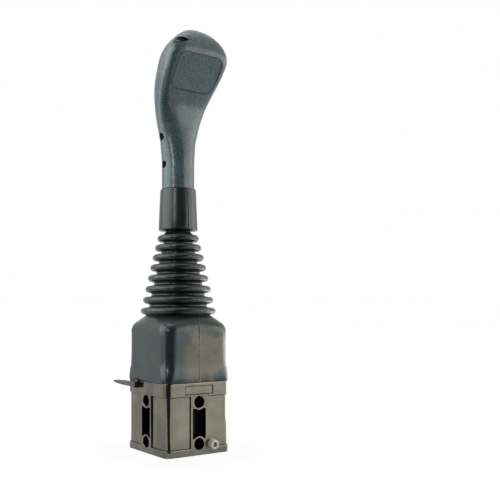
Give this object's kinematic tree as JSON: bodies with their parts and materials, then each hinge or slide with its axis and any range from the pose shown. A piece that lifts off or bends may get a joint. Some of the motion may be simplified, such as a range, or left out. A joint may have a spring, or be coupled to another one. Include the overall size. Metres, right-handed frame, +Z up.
{
  "type": "cable control joystick",
  "caption": "Tilting hand lever for push-pull cables: square cast base with side windows, ringed rubber boot, and a shaped handle with a blank pad and an egg-shaped label.",
  "frame": {"origin": "centre of the base's underside", "axes": "+Z up along the upright lever, -Y towards the operator and the label, +X to the operator's right"},
  "size_m": [0.0779, 0.0963, 0.3713],
  "materials": {
    "base_paint": "satin black paint on a casting",
    "sleeve_plastic": "black",
    "zinc_steel": "bright zinc plate",
    "frame_metal": "machined",
    "ground_steel": "ground",
    "bush_bronze": "sintered bronze",
    "hub_steel": "turned and blackened",
    "polished_steel": "polished ball",
    "boot_rubber": "half-gloss moulded rubber",
    "strap_nylon": "toothed nylon",
    "handle_plastic": "fine grain",
    "dark_screw": "blackened",
    "label_plastic": "printed",
    "clear_resin": "clear dome over the print"
  },
  "bodies": {
    "base": {"base_housing": "base_paint", "dust_sleeve": "sleeve_plastic", "conduit_clamp_screws": "zinc_steel", "pivot_frame": "frame_metal", "frame_washers": "zinc_steel", "frame_screws": "zinc_steel", "pitch_pins": "ground_steel", "rubber_boot": "boot_rubber", "boot_strap": "strap_nylon"},
    "gimbal": {"gimbal_ring": "frame_metal", "pitch_bushes": "bush_bronze", "roll_pins": "ground_steel"},
    "stick": {"hub": "hub_steel", "roll_bushes": "bush_bronze", "lever_rod": "ground_steel", "rod_jam_nut": "zinc_steel", "roll_cable_stud": "ground_steel", "pitch_cable_stud": "ground_steel", "stud_spacers": "zinc_steel", "stud_clips": "zinc_steel", "rod_insert": "hub_steel", "handle_right_half": "handle_plastic", "handle_left_half": "handle_plastic", "handle_screws": "dark_screw", "front_pad": "handle_plastic", "label_plate": "label_plastic", "label_dome": "clear_resin"},
    "roll_ball": {"roll_rod_end_ball": "polished_steel"},
    "roll_link": {"roll_rod_end": "zinc_steel"},
    "pitch_ball": {"pitch_rod_end_ball": "polished_steel"},
    "pitch_link": {"pitch_rod_end": "zinc_steel"}
  },
  "joints": [
    {"name": "pitch", "type": "hinge", "parent": "base", "child": "gimbal", "pos_m": [0, 0, 0.092], "axis": [1, 0, 0], "range_deg": [-18, 18], "stiffness_Nm_per_rad": 3, "deforming": ["rubber_boot"]},
    {"name": "roll", "type": "hinge", "parent": "gimbal", "child": "stick", "pos_m": [0, 0, 0.092], "axis": [0, 1, 0], "range_deg": [-18, 18], "stiffness_Nm_per_rad": 3, "deforming": ["rubber_boot"]},
    {"name": "roll_ball_turn", "type": "hinge", "parent": "stick", "child": "roll_ball", "pos_m": [-0.0135, 0, 0.077], "axis": [1, 0, 0], "range_deg": [-18, 18]},
    {"name": "roll_link_swivel", "type": "hinge", "parent": "roll_ball", "child": "roll_link", "pos_m": [-0.0135, 0, 0.077], "axis": [0, 1, 0], "range_deg": [-18, 18]},
    {"name": "pitch_ball_turn", "type": "hinge", "parent": "stick", "child": "pitch_ball", "pos_m": [0, -0.0135, 0.077], "axis": [0, 1, 0], "range_deg": [-18, 18]},
    {"name": "pitch_link_swivel", "type": "hinge", "parent": "pitch_ball", "child": "pitch_link", "pos_m": [0, -0.0135, 0.077], "axis": [1, 0, 0], "range_deg": [-18, 18]}
  ],
  "couplings": [
    {"joint": "roll_ball_turn", "follows": "pitch", "ratio": -1},
    {"joint": "roll_link_swivel", "follows": "roll", "ratio": -1},
    {"joint": "pitch_ball_turn", "follows": "roll", "ratio": -1},
    {"joint": "pitch_link_swivel", "follows": "pitch", "ratio": -1}
  ]
}
